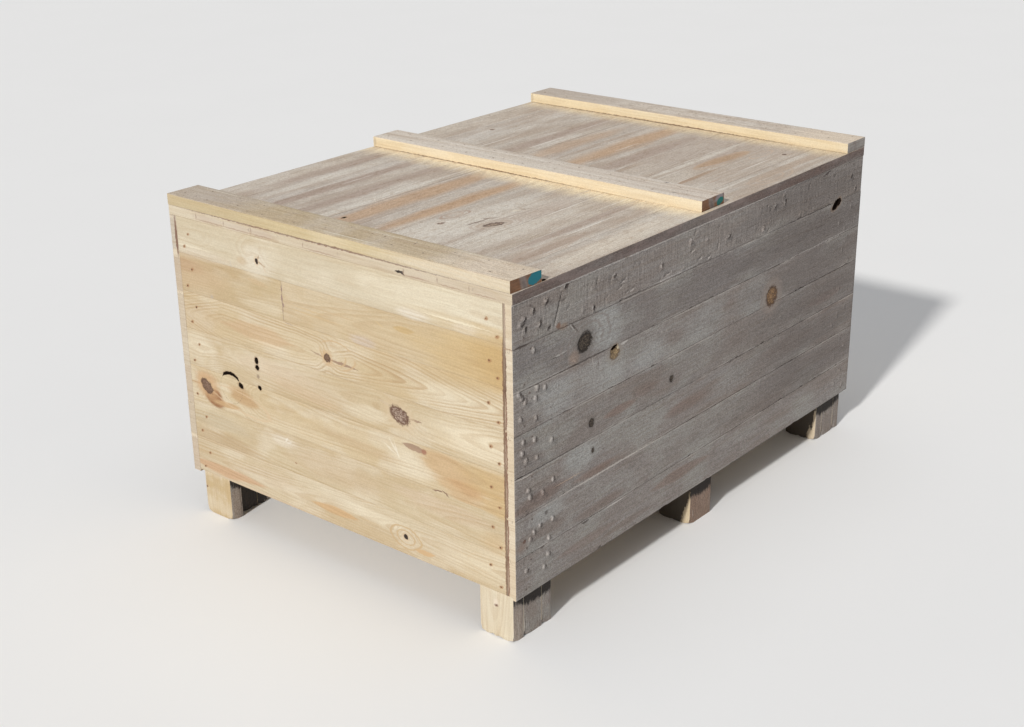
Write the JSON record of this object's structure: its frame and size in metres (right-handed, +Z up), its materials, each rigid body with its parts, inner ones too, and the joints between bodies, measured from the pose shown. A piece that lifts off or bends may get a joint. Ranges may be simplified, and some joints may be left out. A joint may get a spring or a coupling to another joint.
{
  "type": "wooden shipping crate",
  "caption": "Wooden shipping crate of tongue-and-groove planks on block feet, with a battened lift-off lid and fork gaps under the floor.",
  "frame": {"origin": "on the floor under the middle of the crate: the bottom centre of the whole part with the lid on", "axes": "+Z up; +Y along the crate's length, the fresh front end faces -Y; +X to the right seen from the front"},
  "size_m": [0.99, 1.375, 0.7773],
  "materials": {
    "end_pine": "planed, fresh pine",
    "side_pine": "rough, weathered grey pine",
    "lid_pine": "rough, weathered pine with orange streaks",
    "batten_pine": "sawn pine, weathered on top",
    "foot_pine": "sawn pine",
    "frame_pine": "sawn pine",
    "nail_steel": "dull, slightly rusted steel"
  },
  "bodies": {
    "crate": {"back_plank_1": "end_pine", "back_plank_2": "end_pine", "back_plank_3": "end_pine", "back_plank_4": "end_pine", "back_plank_5": "end_pine", "back_plank_6": "end_pine", "back_plank_7": "end_pine", "corner_post_back_left": "frame_pine", "corner_post_back_right": "frame_pine", "corner_post_front_left": "frame_pine", "corner_post_front_right": "frame_pine", "floor_bearers": "frame_pine", "floor_boards": "frame_pine", "floor_nails": "nail_steel", "foot_back_left": "foot_pine", "foot_back_right": "foot_pine", "foot_front_left": "foot_pine", "foot_front_right": "foot_pine", "foot_middle_left": "foot_pine", "foot_middle_right": "foot_pine", "front_plank_1": "end_pine", "front_plank_2": "end_pine", "front_plank_3": "end_pine", "front_plank_4": "end_pine", "front_plank_5": "end_pine", "front_plank_6": "end_pine", "front_plank_7": "end_pine", "left_plank_1": "side_pine", "left_plank_2": "side_pine", "left_plank_3": "side_pine", "left_plank_4": "side_pine", "left_plank_5": "side_pine", "left_plank_6": "side_pine", "left_plank_7": "side_pine", "right_plank_1": "side_pine", "right_plank_2": "side_pine", "right_plank_3": "side_pine", "right_plank_4": "side_pine", "right_plank_5": "side_pine", "right_plank_6": "side_pine", "right_plank_7": "side_pine", "stiffener_left": "frame_pine", "stiffener_right": "frame_pine", "wall_nails": "nail_steel"},
    "lid": {"lid_batten_back": "batten_pine", "lid_batten_front": "batten_pine", "lid_batten_middle": "batten_pine", "lid_nails": "nail_steel", "lid_plank_1": "lid_pine", "lid_plank_10": "lid_pine", "lid_plank_11": "lid_pine", "lid_plank_2": "lid_pine", "lid_plank_3": "lid_pine", "lid_plank_4": "lid_pine", "lid_plank_5": "lid_pine", "lid_plank_6": "lid_pine", "lid_plank_7": "lid_pine", "lid_plank_8": "lid_pine", "lid_plank_9": "lid_pine"}
  },
  "joints": [
    {"name": "lid_lift", "type": "slide", "parent": "crate", "child": "lid", "axis": [0, 0, 1], "range_m": [0, 0.7]}
  ]
}
